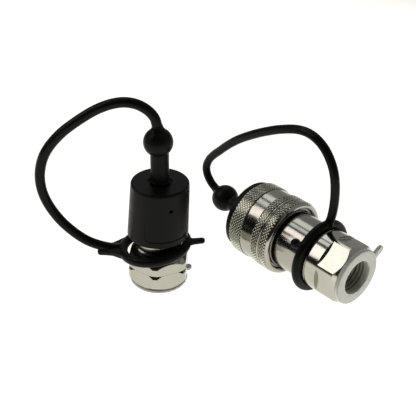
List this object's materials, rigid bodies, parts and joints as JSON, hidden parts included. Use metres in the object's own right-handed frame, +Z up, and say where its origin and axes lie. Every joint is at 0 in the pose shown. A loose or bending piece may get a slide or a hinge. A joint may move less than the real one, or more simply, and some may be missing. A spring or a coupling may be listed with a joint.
{
  "type": "quick disconnect coupler",
  "caption": "Uncoupled pair of poppet-type quick disconnect hydraulic coupler halves with knurled release sleeve, dust plug and dust cap on lanyards, and push-in port plugs.",
  "frame": {"origin": "centre of the foot of the standing male half, on the surface that both halves rest on", "axes": "+Z up along the male half's axis towards its nose; +X along the female half's axis from its socket towards its port; the female half lies 53 mm along +Y"},
  "size_m": [0.1162, 0.1136, 0.0939],
  "materials": {
    "zinc_steel": "bright zinc plate",
    "spring_steel": "bright drawn",
    "ball_steel": "polished",
    "seal_rubber": "satin",
    "seal_ptfe": "waxy",
    "cover_rubber": "semi-gloss",
    "plug_plastic": "translucent milky"
  },
  "bodies": {
    "female": {"socket_body": "zinc_steel", "female_adapter": "zinc_steel", "spring_washer": "spring_steel", "front_snap_ring": "spring_steel", "rear_snap_ring": "spring_steel", "nose_oring": "seal_rubber", "backup_ring": "seal_ptfe", "female_guide": "zinc_steel", "female_joint_oring": "seal_rubber", "female_valve_spring": "spring_steel", "sleeve_spring": "spring_steel", "plug_ring": "cover_rubber", "plug_strap": "cover_rubber"},
    "sleeve": {"release_sleeve": "zinc_steel"},
    "ball_1": {"ball_1": "ball_steel"},
    "ball_2": {"ball_2": "ball_steel"},
    "ball_3": {"ball_3": "ball_steel"},
    "ball_4": {"ball_4": "ball_steel"},
    "ball_5": {"ball_5": "ball_steel"},
    "ball_6": {"ball_6": "ball_steel"},
    "ball_7": {"ball_7": "ball_steel"},
    "ball_8": {"ball_8": "ball_steel"},
    "female_poppet": {"female_poppet": "zinc_steel", "female_poppet_seal": "seal_rubber"},
    "female_port_plug": {"female_port_plug": "plug_plastic"},
    "plug_toggle": {"plug_toggle": "cover_rubber"},
    "dust_plug": {"dust_plug": "cover_rubber"},
    "male": {"nipple": "zinc_steel", "male_adapter": "zinc_steel", "male_guide": "zinc_steel", "male_joint_oring": "seal_rubber", "male_valve_spring": "spring_steel", "cap_ring": "cover_rubber", "cap_strap": "cover_rubber"},
    "male_poppet": {"male_poppet": "zinc_steel", "male_poppet_seal": "seal_rubber"},
    "male_port_plug": {"male_port_plug": "plug_plastic"},
    "cap_toggle": {"cap_toggle": "cover_rubber"},
    "dust_cap": {"dust_cap": "cover_rubber"}
  },
  "joints": [
    {"name": "sleeve_slide", "type": "slide", "parent": "female", "child": "sleeve", "axis": [1, 0, 0], "range_m": [0, 0.005], "stiffness_N_per_m": 800, "springref_m": -0.006, "deforming": ["sleeve_spring"]},
    {"name": "ball_1_slide", "type": "slide", "parent": "female", "child": "ball_1", "axis": [0, 0, -1], "range_m": [0, 0.00125]},
    {"name": "ball_2_slide", "type": "slide", "parent": "female", "child": "ball_2", "axis": [0, 0.7071, -0.7071], "range_m": [0, 0.00125]},
    {"name": "ball_3_slide", "type": "slide", "parent": "female", "child": "ball_3", "axis": [0, 1, 0], "range_m": [0, 0.00125]},
    {"name": "ball_4_slide", "type": "slide", "parent": "female", "child": "ball_4", "axis": [0, 0.7071, 0.7071], "range_m": [0, 0.00125]},
    {"name": "ball_5_slide", "type": "slide", "parent": "female", "child": "ball_5", "axis": [0, 0, 1], "range_m": [0, 0.00125]},
    {"name": "ball_6_slide", "type": "slide", "parent": "female", "child": "ball_6", "axis": [0, -0.7071, 0.7071], "range_m": [0, 0.00125]},
    {"name": "ball_7_slide", "type": "slide", "parent": "female", "child": "ball_7", "axis": [0, -1, 0], "range_m": [0, 0.00125]},
    {"name": "ball_8_slide", "type": "slide", "parent": "female", "child": "ball_8", "axis": [0, -0.7071, -0.7071], "range_m": [0, 0.00125]},
    {"name": "female_poppet_slide", "type": "slide", "parent": "female", "child": "female_poppet", "axis": [1, 0, 0], "range_m": [0, 0.004], "stiffness_N_per_m": 600, "springref_m": -0.005, "deforming": ["female_valve_spring"]},
    {"name": "female_port_plug_pull", "type": "slide", "parent": "female", "child": "female_port_plug", "axis": [1, 0, 0], "range_m": [0, 0.05]},
    {"name": "female_plug_pull", "type": "slide", "parent": "female", "child": "plug_toggle", "axis": [-1, 0, 0], "range_m": [0, 0.04], "deforming": ["plug_strap"]},
    {"name": "female_plug_turn", "type": "hinge", "parent": "plug_toggle", "child": "dust_plug", "pos_m": [0.0045, 0.053, 0.019], "axis": [1, 0, 0], "continuous": true},
    {"name": "male_lift", "type": "slide", "parent": "female", "child": "male", "axis": [0, 0, 1], "range_m": [0, 0.1]},
    {"name": "male_poppet_slide", "type": "slide", "parent": "male", "child": "male_poppet", "axis": [0, 0, -1], "range_m": [0, 0.004], "stiffness_N_per_m": 600, "springref_m": -0.005, "deforming": ["male_valve_spring"]},
    {"name": "male_port_plug_pull", "type": "slide", "parent": "male", "child": "male_port_plug", "axis": [0, 0, -1], "range_m": [0, 0.04]},
    {"name": "male_cap_pull", "type": "slide", "parent": "male", "child": "cap_toggle", "axis": [0, 0, 1], "range_m": [0, 0.045], "deforming": ["cap_strap"]},
    {"name": "male_cap_turn", "type": "hinge", "parent": "cap_toggle", "child": "dust_cap", "pos_m": [0, 0, 0.05], "axis": [0, 0, 1], "continuous": true}
  ],
  "couplings": [
    {"joint": "ball_1_slide", "follows": "sleeve_slide", "ratio": 0.25},
    {"joint": "ball_2_slide", "follows": "sleeve_slide", "ratio": 0.25},
    {"joint": "ball_3_slide", "follows": "sleeve_slide", "ratio": 0.25},
    {"joint": "ball_4_slide", "follows": "sleeve_slide", "ratio": 0.25},
    {"joint": "ball_5_slide", "follows": "sleeve_slide", "ratio": 0.25},
    {"joint": "ball_6_slide", "follows": "sleeve_slide", "ratio": 0.25},
    {"joint": "ball_7_slide", "follows": "sleeve_slide", "ratio": 0.25},
    {"joint": "ball_8_slide", "follows": "sleeve_slide", "ratio": 0.25}
  ]
}
